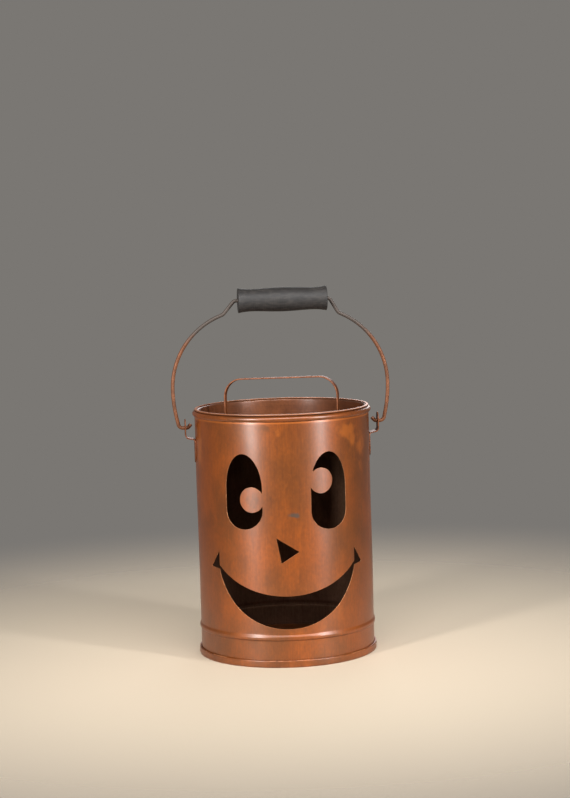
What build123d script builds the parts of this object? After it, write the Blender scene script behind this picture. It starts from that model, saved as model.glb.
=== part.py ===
from build123d import *
import os
from math import acos, atan2, cos, degrees, radians, sqrt, tan

# A rolled sheet-metal jack-o'-lantern pail with a wire bail, a turned wooden grip and a lift-out tray.
# Millimetres. The pail stands on z = 0, the bail hinges along X, and the face looks towards -Y.

# Sheet, and the play between its folded layers
sheet = 0.7
seam_gap = 0.05
overrun = 5.0

# Pail wall
pail_radius = 95.0
bead_height = 31.3
bead_half_width = 3.5
bead_depth = 1.2
bead_crown_share = 0.3
bead_step_share = 0.5
bead_foot_share = 0.8
bead_bend = 2.6
bead_foot_bend = 0.8
lock_seam_width = 7.0
lock_seam_depth = 0.6
lock_seam_margin = 4.0

# Rolled rim of the wall
roll_radius = 3.0
rim_clearance = 36.6
roll_reach = 2.3
roll_neck_bend = 0.9
roll_edge_angle = -74.0

# Double seam that locks the floor to the wall
seam_height = 7.8
seam_bend_share = 0.9
seam_corner_share = 1.3
floor_height = 7.0
floor_corner_bend = 1.5

# Face, drawn on the flat sheet as arc length along the wall, and upwards from the bead
face_turn = -3.7
mouth_margin = 6.1
mouth_half_width = 81.5
mouth_opening = 35.1
mouth_rise = 61.2
mouth_corner_gap = 4.2
cheek_reach = 13.5
cheek_lift = 1.8
cheek_rise = 15.3
nose_margin = 35.2
nose_left = 11.2
nose_right = 12.7
nose_foot = 6.4
nose_tip_rise = 11.7
nose_top_rise = 26.8
eye_margin = 9.0
eye_spacing = 47.6
eye_shift = 0.9
eye_half_width = 21.5
eye_lid = 20.0
eye_straight = 23.0
eye_brow = 37.0
eye_right_drop = 2.3
pupil_radius = 13.5
pupil_overlap = 1.7
pupil_left_rise = 31.6
pupil_right_rise = 50.0
cut_depth_share = 0.4
cut_steps = 12

# Ears, bent from strip, one at each end of the hinge
ear_sheet = 1.2
ear_width = 15.0
ear_standoff = 10.4
ear_shelf_drop = 31.0
ear_shelf_rise = 2.2
ear_neck = 6.0
ear_bend = 2.0
ear_tab_bend = 4.0
ear_hole_cover = 9.8
ear_foot_drop = 25.1
ear_foot_radius = 12.0

# Bail of round wire, and the handle part that it is bent into
hinge_rise = 12.8
wire_diameter = 4.0
wire_play = 0.9
hook_tail_run = 3.6
hook_tail_rise = 4.0
hook_tail_bend = 3.0
hook_reach = 2.8
hook_bend = 5.0
bail_side_reach = 12.2
bail_widest_rise = 41.6
bail_straight = 1.0
bail_side_lean = 12.7
bail_side_bend_share = 0.3745
bail_bow_radius = 84.0
bail_shift = 2.5
shoulder_step = 10.9
shoulder_lead = 3.5
shoulder_bend = 8.0
handle_shift = 3.9
handle_end_room = 3.5
handle_rise = 136.3
handle_bend = 6.0

# Turned wooden grip
grip_shift = 4.4
grip_length = 96.8
grip_end_radius = 13.8
grip_waist_radius = 12.2
grip_middle_radius = 13.2
grip_waist_inset = 21.5
grip_edge = 1.0
grip_play = 0.6

# Lift-out tray
tray_sheet = 0.7
tray_play = 0.5
tray_seat_gap = 0.3
tray_depth = 35.0
tray_corner_bend = 4.0
tray_lip_bend = 1.5
tray_lip_radius = 95.0
hem_bend = 0.55
hem_bend_share = 0.9
hem_width = 2.4

# Strap handle of the tray, and its rivets
strap_turn = -25.0
strap_thickness = 1.5
strap_width = 6.0
strap_foot_width = 4.0
strap_taper_drop = 12.3
strap_side_room = 25.25
strap_lift = 30.05
strap_rise = 4.0
strap_bend = 20.0
strap_foot_bend = 3.0
strap_foot_length = 9.0
strap_pad_radius = 5.0
rivet_radius = 1.6
rivet_play = 0.05
rivet_head_radius = 3.2
rivet_head_height = 1.3
rivet_crown_share = 0.9

# Heights of the face on the sheet, from the bead up to the rim
mouth_bottom = bead_height + bead_half_width + mouth_margin
mouth_middle = mouth_bottom + mouth_opening
mouth_corner_lower = mouth_bottom + mouth_rise
mouth_corner_upper = mouth_corner_lower + mouth_corner_gap
cheek_outer = mouth_half_width + cheek_reach
cheek_outer_height = mouth_corner_lower + cheek_lift
cheek_top_height = mouth_corner_upper + cheek_rise
nose_bottom_height = mouth_middle + nose_margin
nose_tip_height = nose_bottom_height + nose_tip_rise
nose_top_height = nose_bottom_height + nose_top_rise
eye_bottom = nose_top_height + eye_margin
eye_lower_height = eye_bottom + eye_lid
eye_upper_height = eye_lower_height + eye_straight
eye_top = eye_upper_height + eye_brow
pupil_inset = eye_half_width + pupil_overlap - pupil_radius

# Places worked out from the sizes above
wall_line = pail_radius - sheet / 2
layer = sheet + seam_gap
roll_line = roll_radius - sheet / 2
roll_centre = pail_radius + roll_reach - roll_radius
roll_centre_height = eye_top + rim_clearance
rim_top = roll_centre_height + roll_radius
ear_line = pail_radius + ear_standoff
ear_shelf_height = rim_top - ear_shelf_drop
ear_foot_bottom = ear_shelf_height - ear_foot_drop
hinge_height = ear_shelf_height + hinge_rise
ear_top = hinge_height + ear_hole_cover
wire_radius = wire_diameter / 2
bail_half_width = ear_line + bail_side_reach
bail_widest_height = hinge_height + bail_widest_rise
handle_half_span = grip_length / 2 + handle_end_room
handle_height = hinge_height + handle_rise
shoulder_half_span = handle_half_span + shoulder_step
tray_line = roll_centre - roll_radius - tray_play - tray_sheet / 2
tray_lip_line = rim_top + tray_seat_gap + tray_sheet / 2
tray_floor_line = tray_lip_line - tray_depth
strap_half_span = tray_line - strap_side_room
strap_left_height = tray_lip_line + strap_lift
strap_taper_height = strap_left_height - strap_taper_drop
strap_foot_line = tray_floor_line + tray_sheet / 2 + strap_thickness / 2
strap_tip = strap_half_span + strap_foot_length
rivet_places = [side * strap_tip for side in (-1, 1)]
on_base = (Align.CENTER, Align.CENTER, Align.MIN)


def revolved_sheet(path, thickness):
    """Turn a sheet's middle line, drawn as radius and height, into a shell round Z."""
    profile = Plane.XZ * trace(path, thickness)
    return revolve(profile, Axis.Z)


def roll_path():
    """The neck that bends inwards under the rim, then the roll over the top to its raw edge."""
    reach = roll_neck_bend + roll_line
    across = roll_centre - wall_line + roll_neck_bend
    drop = sqrt(reach**2 - across**2)
    turn = degrees(atan2(drop, across))
    neck_height = roll_centre_height - drop
    neck_centre = (wall_line - roll_neck_bend, neck_height)
    neck = CenterArc(neck_centre, roll_neck_bend, 0, turn)
    centre = (roll_centre, roll_centre_height)
    roll = CenterArc(centre, roll_line, 180 + turn, roll_edge_angle - 180 - turn)
    return neck_height, [neck, roll]


def make_wall():
    """The rolled wall: base hook, a bead that is soft above and steep below, plain side and rolled rim."""
    neck_height, rim = roll_path()
    hook_line = wall_line + 2 * layer
    hook_foot = sheet / 2 + layer
    hook_top = seam_height - sheet / 2 - layer
    crown = bead_half_width * bead_crown_share
    step = bead_half_width * bead_step_share
    foot = bead_half_width * bead_foot_share
    seam_bend = layer * seam_bend_share
    side = FilletPolyline(
        (hook_line, hook_top),
        (hook_line, hook_foot),
        (wall_line, hook_foot),
        (wall_line, bead_height - foot),
        (wall_line + bead_depth, bead_height - step),
        (wall_line + bead_depth, bead_height + crown),
        (wall_line, bead_height + bead_half_width),
        (wall_line, neck_height),
        radius=[seam_bend, seam_bend, bead_foot_bend, bead_foot_bend, bead_bend, bead_bend],
    )
    wall = revolved_sheet(Wire(side.edges() + rim), sheet)
    wall += make_lock_seam(neck_height)
    return wall - make_face_cutters()


def make_lock_seam(neck_height):
    """The flat folded seam up the back, where the rolled blank closes on itself."""
    foot = bead_height + bead_half_width + lock_seam_margin
    height = neck_height - lock_seam_margin - foot
    outer = Cylinder(pail_radius + lock_seam_depth, height, align=on_base)
    inner = Cylinder(wall_line, height, align=on_base)
    strip = Pos(0, pail_radius) * Box(lock_seam_width, pail_radius, height, align=on_base)
    return Pos(0, 0, foot) * ((outer - inner) & strip)


def eye_outline(side, pupil_rise, drop):
    """A tall oval, less the round pupil that hangs from its inner side."""
    middle = eye_shift + side * eye_spacing
    lid_height = eye_lower_height - drop
    upper = EllipticalCenterArc((middle, eye_upper_height), eye_half_width, eye_brow, 0, arc_size=180)
    lower = EllipticalCenterArc((middle, lid_height), eye_half_width, eye_lid, 180, arc_size=180)
    left = Line(upper @ 1, lower @ 0)
    right = Line(lower @ 1, upper @ 0)
    oval = make_face([upper, left, lower, right])
    return oval - Pos(middle - side * pupil_inset, eye_bottom + pupil_rise) * Circle(pupil_radius)


def nose_outline():
    return make_face(
        Polyline(
            (-nose_left, nose_top_height),
            (nose_right, nose_tip_height),
            (-nose_foot, nose_bottom_height),
            close=True,
        )
    )


def mouth_outline():
    """A crescent between two arcs, with a small triangular cheek open at each corner."""
    lower = ThreePointArc(
        (-mouth_half_width, mouth_corner_lower), (0, mouth_bottom), (mouth_half_width, mouth_corner_lower)
    )
    upper = ThreePointArc(
        (mouth_half_width, mouth_corner_upper), (0, mouth_middle), (-mouth_half_width, mouth_corner_upper)
    )
    right = Polyline(
        lower @ 1,
        (cheek_outer, cheek_outer_height),
        (mouth_half_width, cheek_top_height),
        upper @ 0,
    )
    left = Polyline(
        upper @ 1,
        (-mouth_half_width, cheek_top_height),
        (-cheek_outer, cheek_outer_height),
        lower @ 0,
    )
    return make_face([lower, right, upper, left])


def radial_cutter(outline):
    """Cut a flat outline through the wall along radii, as a die-cut blank lies once it is rolled.

    A point at arc length s and height z goes to x = depth * tan(s / radius) on the plane y = -depth,
    so the straight lines between the near and the far plane all run through the axis.
    """
    steps = [index / cut_steps for index in range(cut_steps + 1)]
    rings = []
    for depth in (pail_radius + overrun, pail_radius * cut_depth_share):
        edges = []
        for edge in outline.face().outer_wire().order_edges():
            flat = [edge @ step for step in steps]
            bent = [(depth * tan(point.X / pail_radius), -depth, point.Y) for point in flat]
            edges.append(Edge.make_spline(bent, parameters=steps))
        rings.append(Wire(edges))
    return Solid.make_loft(rings, ruled=True)


def make_face_cutters():
    outlines = [
        eye_outline(-1, pupil_left_rise, 0),
        eye_outline(1, pupil_right_rise, eye_right_drop),
        nose_outline(),
        mouth_outline(),
    ]
    return [Rot(0, 0, face_turn) * radial_cutter(outline) for outline in outlines]


def make_floor():
    """A disc whose edge goes down inside the wall, round its hook and back in between the layers."""
    inner_line = wall_line - layer
    tuck_line = wall_line + layer
    outer_line = wall_line + 3 * layer
    foot = sheet / 2
    top = seam_height - sheet / 2
    corner = layer * seam_corner_share
    bend = layer * seam_bend_share
    path = FilletPolyline(
        (0, floor_height),
        (inner_line, floor_height),
        (inner_line, foot),
        (outer_line, foot),
        (outer_line, top),
        (tuck_line, top),
        (tuck_line, foot + 2 * layer + seam_gap),
        radius=[floor_corner_bend, corner, corner, bend, bend],
    )
    return revolved_sheet(path, sheet)


def make_ear_strip():
    """The shelf that stands off the wall and the round-topped tab with the hole for the bail."""
    foot_line = pail_radius + ear_sheet / 2
    path = FilletPolyline(
        (foot_line, ear_shelf_height - ear_neck),
        (foot_line, ear_shelf_height),
        (ear_line, ear_shelf_height + ear_shelf_rise),
        (ear_line, ear_top),
        radius=[ear_bend, ear_tab_bend],
    )
    strip = extrude(Plane.XZ * trace(path, ear_sheet), ear_width / 2, both=True)
    round_height = ear_top - ear_width / 2
    front = Pos(0, round_height) * Circle(ear_width / 2)
    front += Rectangle(ear_width, round_height, align=(Align.CENTER, Align.MIN))
    strip &= extrude(Plane.YZ * front, ear_line + overrun)
    drill = Rot(0, 90, 0) * Cylinder((wire_diameter + wire_play) / 2, overrun)
    return strip - Pos(ear_line, 0, hinge_height) * drill


def make_ear_foot():
    """The spade-shaped foot, curved to the wall that it is soldered to."""
    height = ear_top
    shell = Cylinder(pail_radius + ear_sheet, height, align=on_base)
    shell -= Cylinder(pail_radius, height, align=on_base)
    middle = ear_foot_bottom + ear_foot_radius
    neck = Polyline(
        (ear_foot_radius, middle),
        (ear_width / 2, ear_shelf_height),
        (-ear_width / 2, ear_shelf_height),
        (-ear_foot_radius, middle),
        close=True,
    )
    spade = Pos(0, middle) * Circle(ear_foot_radius) + make_face(neck)
    return shell & extrude(Plane.YZ * spade, pail_radius + overrun)


def make_ear():
    return make_ear_foot() + make_ear_strip()


def bail_side(side):
    """Corners of the bail from the tip of its hook up to the end of the handle, on one side."""
    lean = radians(bail_side_lean)
    side_run = bail_widest_rise * bail_side_bend_share
    shoulder = shoulder_half_span + side * bail_shift
    drawn_in = bail_half_width - shoulder
    ratio = (bail_bow_radius - drawn_in) / sqrt(bail_bow_radius**2 + shoulder_lead**2)
    turn = acos(ratio) - atan2(shoulder_lead, bail_bow_radius)
    side_corner = bail_widest_height - bail_straight / 2 - side_run
    bow_corner = bail_widest_height + bail_straight / 2 + bail_bow_radius * tan(turn / 2)
    shoulder_run = bail_bow_radius * tan(turn / 2) + shoulder_lead
    hook_inner = ear_line - hook_reach
    hook_outer = bail_half_width - (side_corner - hinge_height) * tan(lean)
    return [
        (side * (hook_inner - hook_tail_run), hinge_height + hook_tail_rise),
        (side * hook_inner, hinge_height),
        (side * hook_outer, hinge_height),
        (side * bail_half_width, side_corner),
        (side * bail_half_width, bow_corner),
        (side * shoulder, bow_corner + shoulder_run * cos(turn)),
        (handle_shift + side * handle_half_span, handle_height),
    ]


def make_bail():
    side_bend = bail_widest_rise * bail_side_bend_share / tan(radians(bail_side_lean) / 2)
    bends = [hook_tail_bend, hook_bend, side_bend, bail_bow_radius, shoulder_bend, handle_bend]
    corners = bail_side(-1) + bail_side(1)[::-1]
    path = Plane.XZ * FilletPolyline(*corners, radius=bends + bends[::-1])
    section = Plane(origin=path @ 0, z_dir=path % 0) * Circle(wire_radius)
    return sweep(section, path=path)


def make_grip():
    """A turned grip: full at the ends, drawn in near them, with a slight swell between."""
    half = grip_length / 2
    waist = half - grip_waist_inset
    bore = wire_radius + grip_play / 2
    crest = Spline(
        (-half, grip_end_radius),
        (-waist, grip_waist_radius),
        (0, grip_middle_radius),
        (waist, grip_waist_radius),
        (half, grip_end_radius),
    )
    ends = Polyline(crest @ 1, (half, bore), (-half, bore), crest @ 0)
    grip = revolve(Plane.XZ * make_face([crest, ends]), Axis.X)
    rims = grip.edges().filter_by(GeomType.CIRCLE).group_by(SortBy.RADIUS)[-1]
    return Pos(grip_shift, 0, handle_height) * fillet(rims, grip_edge)


def make_tray_pan():
    lip = tray_lip_radius - tray_sheet / 2
    hem_top = tray_lip_line + 2 * hem_bend
    hem = hem_bend * hem_bend_share
    path = FilletPolyline(
        (0, tray_floor_line),
        (tray_line, tray_floor_line),
        (tray_line, tray_lip_line),
        (lip, tray_lip_line),
        (lip, hem_top),
        (lip - hem_width, hem_top),
        radius=[tray_corner_bend, tray_lip_bend, hem, hem],
    )
    return revolved_sheet(path, tray_sheet) - make_rivet_holes()


def make_strap():
    """The flat strap handle: round pads on the tray floor, legs that taper, and a top run bent by hand."""
    path = FilletPolyline(
        (-strap_tip, strap_foot_line),
        (-strap_half_span, strap_foot_line),
        (-strap_half_span, strap_left_height),
        (strap_half_span, strap_left_height + strap_rise),
        (strap_half_span, strap_foot_line),
        (strap_tip, strap_foot_line),
        radius=[strap_foot_bend, strap_bend, strap_bend, strap_foot_bend],
    )
    strap = extrude(Plane.XZ * trace(path, strap_thickness), strap_width / 2, both=True)
    top = strap_left_height + strap_rise + strap_width
    taper = Polyline(
        (strap_foot_width / 2, tray_floor_line),
        (strap_width / 2, strap_taper_height),
        (strap_width / 2, top),
        (-strap_width / 2, top),
        (-strap_width / 2, strap_taper_height),
        (-strap_foot_width / 2, tray_floor_line),
        close=True,
    )
    strap &= extrude(Plane.YZ * make_face(taper), strap_tip, both=True)
    pad = Cylinder(strap_pad_radius, strap_thickness)
    strap += [Pos(place, 0, strap_foot_line) * pad for place in rivet_places]
    return Rot(0, 0, strap_turn) * strap - make_rivet_holes()


def make_rivet_holes():
    bore = Cylinder(rivet_radius + rivet_play, overrun)
    return [Rot(0, 0, strap_turn) * Pos(place, 0, strap_foot_line) * bore for place in rivet_places]


def make_rivets():
    """Round-headed rivets, closed on both sides of the strap's feet and the tray floor."""
    under = tray_floor_line - tray_sheet / 2
    over = strap_foot_line + strap_thickness / 2
    head = Cylinder(rivet_head_radius, rivet_head_height, align=on_base)
    head = fillet(head.edges().group_by(Axis.Z)[-1], rivet_head_height * rivet_crown_share)
    shank = Pos(0, 0, under) * Cylinder(rivet_radius, over - under, align=on_base)
    rivet = shank + Pos(0, 0, over) * head + Pos(0, 0, under) * Rot(180, 0, 0) * head
    return Compound([Rot(0, 0, strap_turn) * Pos(place, 0, 0) * rivet for place in rivet_places])


ear = make_ear()
nodes = {
    "pail_wall": make_wall(),
    "pail_floor": make_floor(),
    "ear_right": ear,
    "ear_left": mirror(ear, Plane.YZ),
    "bail_wire": make_bail(),
    "bail_grip": make_grip(),
    "tray_pan": make_tray_pan(),
    "tray_strap": make_strap(),
    "tray_rivets": make_rivets(),
}
os.makedirs("parts", exist_ok=True)
for name, solid in nodes.items():
    export_step(solid, f"parts/{name}.step")
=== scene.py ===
# %% [markdown]
# # A rolled sheet-metal jack-o'-lantern pail
#
# The real pail is made by a tinsmith's steps: a flat blank is cut with the face, rolled into a cylinder,
# beaded, rolled over at the rim and locked to its floor by a folded seam.
# This lesson makes each visible piece the same way, as a numpy surface in the frame that the CAD part set up.
# Sizes are in millimetres until a piece is written, and every piece stands for one CAD node.

import bpy
import numpy as np
from mathutils import Matrix, Vector
from mathutils.geometry import delaunay_2d_cdt


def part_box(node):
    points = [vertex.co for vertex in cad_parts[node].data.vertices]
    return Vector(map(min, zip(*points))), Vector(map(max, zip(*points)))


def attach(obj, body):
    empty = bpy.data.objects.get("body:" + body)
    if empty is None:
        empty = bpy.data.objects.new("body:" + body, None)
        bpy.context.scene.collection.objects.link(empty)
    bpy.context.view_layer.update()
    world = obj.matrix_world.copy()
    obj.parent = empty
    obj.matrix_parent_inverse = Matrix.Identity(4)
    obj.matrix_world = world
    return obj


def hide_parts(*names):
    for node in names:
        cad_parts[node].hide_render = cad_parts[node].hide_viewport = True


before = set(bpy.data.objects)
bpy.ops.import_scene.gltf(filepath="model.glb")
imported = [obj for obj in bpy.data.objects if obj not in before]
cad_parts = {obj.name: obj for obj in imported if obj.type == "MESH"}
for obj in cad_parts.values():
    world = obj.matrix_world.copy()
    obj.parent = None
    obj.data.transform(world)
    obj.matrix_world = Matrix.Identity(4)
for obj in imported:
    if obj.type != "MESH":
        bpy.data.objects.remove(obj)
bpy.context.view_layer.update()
MM = 0.001


def node_box(name):
    """A CAD node's lowest and highest corners at rest, in millimetres."""
    return [np.array(corner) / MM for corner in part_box(name)]


print("CAD nodes:", sorted(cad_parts))

# %% [markdown]
# ## Paths that bend like sheet and wire
#
# Sheet and wire are bent, not sharp, so every profile is a line through corners whose corners become arcs.
# A bevelled curve could do this too, but its points couldn't be used again for normals and marks.
# On an arc that starts at a point, turning by an angle a at radius R, the place is
# start + R (forward sin a + inward (1 - cos a)), which needs no centre and serves left and right bends alike.


# %% Bent paths
def unit(vectors):
    """Vectors divided by their own length."""
    return vectors / np.linalg.norm(vectors, axis=-1, keepdims=True)


def divide_runs(points, run_step):
    """The same line with every straight run longer than run_step cut into equal parts."""
    gaps = np.linalg.norm(np.diff(points, axis=0), axis=1)
    points, gaps = points[np.r_[True, gaps > 1e-6]], gaps[gaps > 1e-6]
    counts = np.maximum(1, np.ceil(gaps / run_step)).astype(int)
    index = np.repeat(np.arange(len(counts)), counts)
    part = np.concatenate([np.arange(n) / n for n in counts])[:, None]
    return np.vstack([points[index] * (1 - part) + points[index + 1] * part, points[-1:]])


def bent_path(corners, bends, turn_step=9.0, run_step=1e6):
    """A flat line through the corners, with an arc of its own radius at each inner corner."""
    corners = np.array(corners, float)
    points = [corners[0]]
    for before, corner, after, bend in zip(corners, corners[1:], corners[2:], bends):
        forward, leaving = unit(corner - before), unit(after - corner)
        turn = np.arccos(np.clip(forward @ leaving, -1, 1))
        inward = unit(leaving - forward * np.cos(turn))
        start = corner - forward * bend * np.tan(turn / 2)
        angle = np.linspace(0, turn, 2 + int(np.degrees(turn) / turn_step))[:, None]
        points.extend(start + bend * (forward * np.sin(angle) + inward * (1 - np.cos(angle))))
    return divide_runs(np.array([*points, corners[-1]]), run_step)


def arc_points(centre, wide, high, first, last, step=1.6):
    """Points on an oval arc: centre + (wide cos a, high sin a), from the first to the last angle."""
    count = max(3, int(abs(np.radians(last - first)) * max(wide, high) / step))
    angle = np.radians(np.linspace(first, last, count))
    return np.c_[centre[0] + wide * np.cos(angle), centre[1] + high * np.sin(angle)]


def path_frame(path):
    """Distance along a flat path, and the unit normal on its right-hand side."""
    step = np.diff(path, axis=0)
    way = unit(step)
    way = unit(np.vstack([way[:1], way[:-1] + way[1:], way[-1:]]))
    along = np.r_[0, np.cumsum(np.linalg.norm(step, axis=1))]
    return along, np.c_[way[:, 1], -way[:, 0]]


def smooth(value, low, high):
    """0 below low, 1 above high, and 3 t t - 2 t t t between."""
    t = np.clip((value - low) / (high - low), 0, 1)
    return t * t * (3 - 2 * t)


print("a quarter bend of 4 mm:", len(bent_path([(0, 0), (9, 0), (9, 9)], [4.0])), "points")

# %% [markdown]
# ## Surfaces from whole arrays
#
# A turned piece is a closed section carried round an axis, and a wire is a circle carried along a path.
# Spin and curve bevels would also do, but as grids the faces come from index arithmetic alone.
# Points that fall on the same place, at a pole or a seam, are then merged so that each shell is closed.


# %% Grids and shells
def grid_faces(rows, columns, close_rows, close_columns):
    """Two triangles for each cell of a grid of points, wrapping round where it is closed."""
    i = np.arange(rows if close_rows else rows - 1)[:, None]
    j = np.arange(columns if close_columns else columns - 1)[None, :]
    low, high = i * columns, (i + 1) % rows * columns
    here, there = j, (j + 1) % columns
    a, b, c, d = low + here, low + there, high + there, high + here
    return np.concatenate([np.stack([a, b, c], -1).reshape(-1, 3), np.stack([a, c, d], -1).reshape(-1, 3)])


def weld(points, faces):
    """Merge points that share a place and drop the faces that this leaves without area."""
    key = np.round(points, 5) + 0.0
    _, first, same = np.unique(key, axis=0, return_index=True, return_inverse=True)
    faces = same.ravel()[faces]
    whole = (faces != np.roll(faces, 1, axis=1)).all(axis=1)
    return points[first], faces[whole], first, whole


def outward(points, faces):
    """Faces turned so that the volume they enclose is positive."""
    a, b, c = points[faces[:, 0]], points[faces[:, 1]], points[faces[:, 2]]
    volume = np.einsum("ij,ij->i", a, np.cross(b, c)).sum()
    return faces if volume > 0 else faces[:, ::-1]


def lathe(section, steps):
    """Carry a closed section of radius r and height h round Z: x = r cos a, y = r sin a, z = h."""
    angle = np.linspace(0, 2 * np.pi, steps, endpoint=False)
    r, h = section[:, :1], section[:, 1:]
    points = np.stack([r * np.cos(angle), r * np.sin(angle), h + 0 * angle], -1).reshape(-1, 3)
    points, faces, _, _ = weld(points, grid_faces(len(section), steps, True, True))
    return points, outward(points, faces)


def sheet_section(path, thickness):
    """The closed outline of a bent sheet: its middle line set off to one side, then back along the other."""
    normal = path_frame(path)[1]
    return np.vstack([path + normal * thickness / 2, (path - normal * thickness / 2)[::-1]])


# %% Writing a piece
def open_edges(faces):
    """How many edges do not have a face on both sides."""
    edges = np.sort(np.concatenate([faces[:, [0, 1]], faces[:, [1, 2]], faces[:, [2, 0]]]), axis=1)
    return int((np.unique(edges, axis=0, return_counts=True)[1] != 2).sum())


def new_piece(name, body, points, faces, finishes, spots=None, normals=None, marks=None):
    """Write one finished piece at the origin, hang it on the empty of the body it rides on, and hide the CAD
    node it stands for.
    """
    mesh = bpy.data.meshes.new(name)
    mesh.from_pydata((points * MM).tolist(), [], faces.tolist())
    for finish in finishes:
        mesh.materials.append(finish)
    if spots is not None:
        mesh.polygons.foreach_set("material_index", spots.astype(np.int32))
    for key, values in (marks or {}).items():
        mesh.attributes.new(key, "FLOAT", "POINT").data.foreach_set("value", values.astype(np.float32))
    mesh.shade_smooth()
    if normals is None:
        mesh.set_sharp_from_angle(angle=np.radians(50))
    else:
        mesh.normals_split_custom_set_from_vertices(unit(normals).tolist())
    piece = bpy.data.objects.new(name, mesh)
    bpy.context.scene.collection.objects.link(piece)
    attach(piece, body)
    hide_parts(name.removesuffix("_fine"))
    print(name, len(faces), "triangles,", open_edges(faces), "open edges")


# %% [markdown]
# ## Cutting a flat blank
#
# A die cuts sheet while it is flat, and only then is it rolled or folded.
# Booleans on the finished cylinder would leave long thin faces round every hole, so the blank is triangulated
# flat, with its outline and holes as fixed edges, and a shape rule bends it afterwards.
# A cut edge is never quite sharp: each skin stops a little short of the outline, and a narrow rim goes round
# between the two skins with normals that turn from one to the other.


# %% Flat blanks
def inside(points, loop):
    """Even-odd test: a point is inside if a ray from it crosses the loop's sides an odd number of times."""
    a, b = loop, np.roll(loop, -1, axis=0)
    x, y = points[:, :1], points[:, 1:]
    spans = (a[:, 1] > y) != (b[:, 1] > y)
    rise = np.where(a[:, 1] == b[:, 1], 1.0, b[:, 1] - a[:, 1])
    crossing = a[:, 0] + (y - a[:, 1]) * (b[:, 0] - a[:, 0]) / rise
    return (spans & (x < crossing)).sum(axis=1) % 2 == 1


def side_of(line, closed):
    """Unit normals in the flat, on the right-hand side of a line, which is away from the sheet."""
    before = np.roll(line, 1, axis=0) if closed else np.vstack([2 * line[:1] - line[1:2], line[:-1]])
    after = np.roll(line, -1, axis=0) if closed else np.vstack([line[1:], 2 * line[-1:] - line[-2:-1]])
    way = unit(unit(line - before) + unit(after - line))
    return np.c_[way[:, 1], -way[:, 0]]


def cut_blank(lines, closed, outlined, field, edge, clear):
    """Flat points and triangles: the edge lines set back by edge, then the field points clear of them.

    A place is on the sheet if it is inside an odd number of loops, or an even number without an outline.
    """
    rims = [line - edge * side_of(line, ring) for line, ring in zip(lines, closed)]
    loops = [rim for rim, ring in zip(rims, closed) if ring]
    keep = sum(inside(field, loop).astype(int) for loop in loops) % 2 == outlined
    for rim in rims:
        gap = field[:, None, :] - rim[None, :, :]
        keep &= (gap**2).sum(axis=-1).min(axis=1) > clear**2
    flat = np.vstack([*rims, field[keep]])
    starts = np.cumsum([0, *map(len, rims)])
    fixed = []
    for start, rim, ring in zip(starts, rims, closed):
        index = start + np.arange(len(rim))
        pairs = np.c_[index, np.roll(index, -1)]
        fixed.extend(pairs[: len(rim) if ring else -1].tolist())
    faces = np.array(delaunay_2d_cdt([Vector(p) for p in flat], fixed, [], 0, 1e-6)[2])
    middle = flat[faces].mean(axis=1)
    faces = faces[sum(inside(middle, loop).astype(int) for loop in loops) % 2 == outlined]
    a, b, c = (flat[faces[:, k]] for k in range(3))
    area = (b - a)[:, 0] * (c - a)[:, 1] - (b - a)[:, 1] * (c - a)[:, 0]
    faces = np.where((area < 0)[:, None], faces[:, ::-1], faces)
    return flat, faces[np.abs(area) > 1e-7], starts


# %% Bending a blank
def form_sheet(lines, closed, blank, shape, thickness, edge):
    """Bend a flat blank into a closed shell: a front skin, a back skin and a rim along each edge line.

    shape(flat, lift) gives places and normals; lift is how far a point stands off the middle of the sheet.
    The finish numbers that come back are 0 on the front, 1 on the back and 2 on the rims.
    """
    flat, faces, starts = blank
    half = thickness / 2
    front, front_normal = shape(flat, half)
    back, back_normal = shape(flat, -half)
    count = len(flat)
    points, normals, flats = [front, back], [front_normal, -back_normal], [flat, flat]
    shells = [faces, faces[:, ::-1] + count]
    base = 2 * count
    for line, ring, start in zip(lines, closed, starts):
        upper, lower = shape(line, half - edge)[0], shape(line, edge - half)[0]
        away = unit(shape(line, 0.0)[0] - shape(line - 0.01 * side_of(line, ring), 0.0)[0])
        points += [upper, lower]
        normals += [away, away]
        flats += [line, line]
        size = len(line)
        index = np.arange(size)
        rows = np.stack([start + index, base + index, base + size + index, start + count + index])
        following = np.roll(rows, -1, axis=1)
        if not ring:
            rows, following = rows[:, :-1], following[:, :-1]
        a, b, c, d = rows[1:], following[1:], following[:-1], rows[:-1]
        shells += [np.stack([a, b, c], -1).reshape(-1, 3), np.stack([a, c, d], -1).reshape(-1, 3)]
        base += 2 * size
    spots = np.concatenate([np.full(len(shell), min(k, 2)) for k, shell in enumerate(shells)])
    return np.vstack(points), np.vstack(normals), np.concatenate(shells), spots, np.vstack(flats)


# %% [markdown]
# ## Colours and nodes
#
# Every finish is named for what it is on the real pail, and its colours are written as sRGB hex.
# One function adds a node with its settings and links, and hands back the output that the next node needs.
# Patterns use the object's own coordinates, so the size of their grain is a real size in millimetres.


# %% Colour and node helpers
def linear(code):
    """An sRGB hex colour as linear RGBA: each channel c becomes ((c + 0.055) / 1.055) to the power 2.4."""
    c = np.array([int(code[k : k + 2], 16) for k in (1, 3, 5)]) / 255
    c = np.where(c <= 0.04045, c / 12.92, ((c + 0.055) / 1.055) ** 2.4)
    return (*c.tolist(), 1.0)


def per_metre(sizes):
    """How often a pattern whose cells measure these millimetres repeats in a metre."""
    return tuple(1 / (size * MM) for size in sizes)


def join(tree, node, inputs):
    """Join sockets to a node's inputs, or set values on them."""
    for key, value in dict(inputs).items():
        if isinstance(value, bpy.types.NodeSocket):
            tree.links.new(value, node.inputs[key])
        else:
            node.inputs[key].default_value = value


def add(tree, kind, inputs=(), give=0, **settings):
    """Add one node with its settings and links, and hand back one of its outputs."""
    node = tree.nodes.new(kind)
    for name, value in settings.items():
        setattr(node, name, value)
    join(tree, node, inputs)
    return node.outputs[give]


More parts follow.
